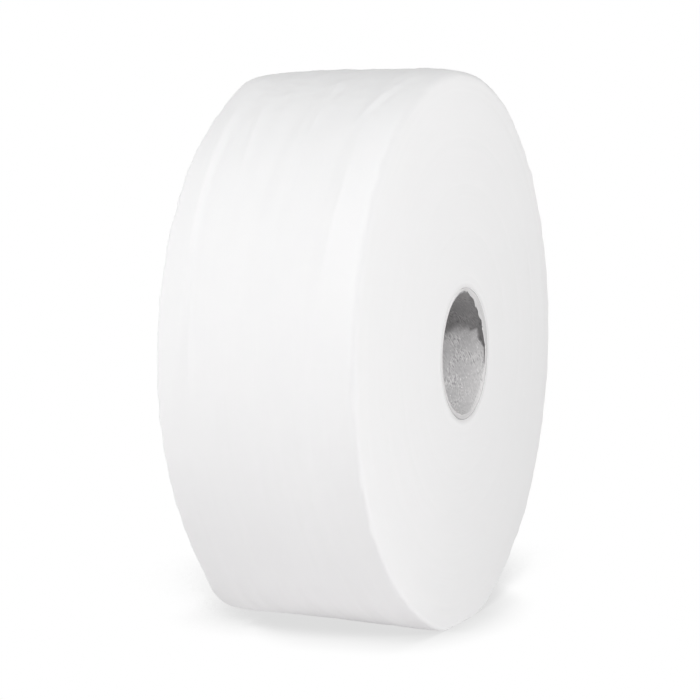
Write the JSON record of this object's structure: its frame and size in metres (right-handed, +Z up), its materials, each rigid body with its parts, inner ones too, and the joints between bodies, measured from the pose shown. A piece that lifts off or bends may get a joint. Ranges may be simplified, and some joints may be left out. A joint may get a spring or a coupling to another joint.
{
  "type": "toilet paper roll",
  "caption": "Jumbo roll of white tissue paper wound on a grey spiral-wound cardboard tube, standing on a small flat spot of its rim.",
  "frame": {"origin": "middle of the flat spot that the roll stands on", "axes": "+Y along the roll's axis, away from the end face that the picture shows; +Z up; +X across the roll, away from the rim that the picture shows"},
  "size_m": [0.275, 0.097, 0.2734],
  "materials": {
    "white_tissue": "matt, soft, finely creped",
    "grey_cardboard": "matt recycled board with pale and dark fibres"
  },
  "bodies": {
    "root": {"paper_roll": "white_tissue", "core_tube": "grey_cardboard"}
  },
  "joints": []
}
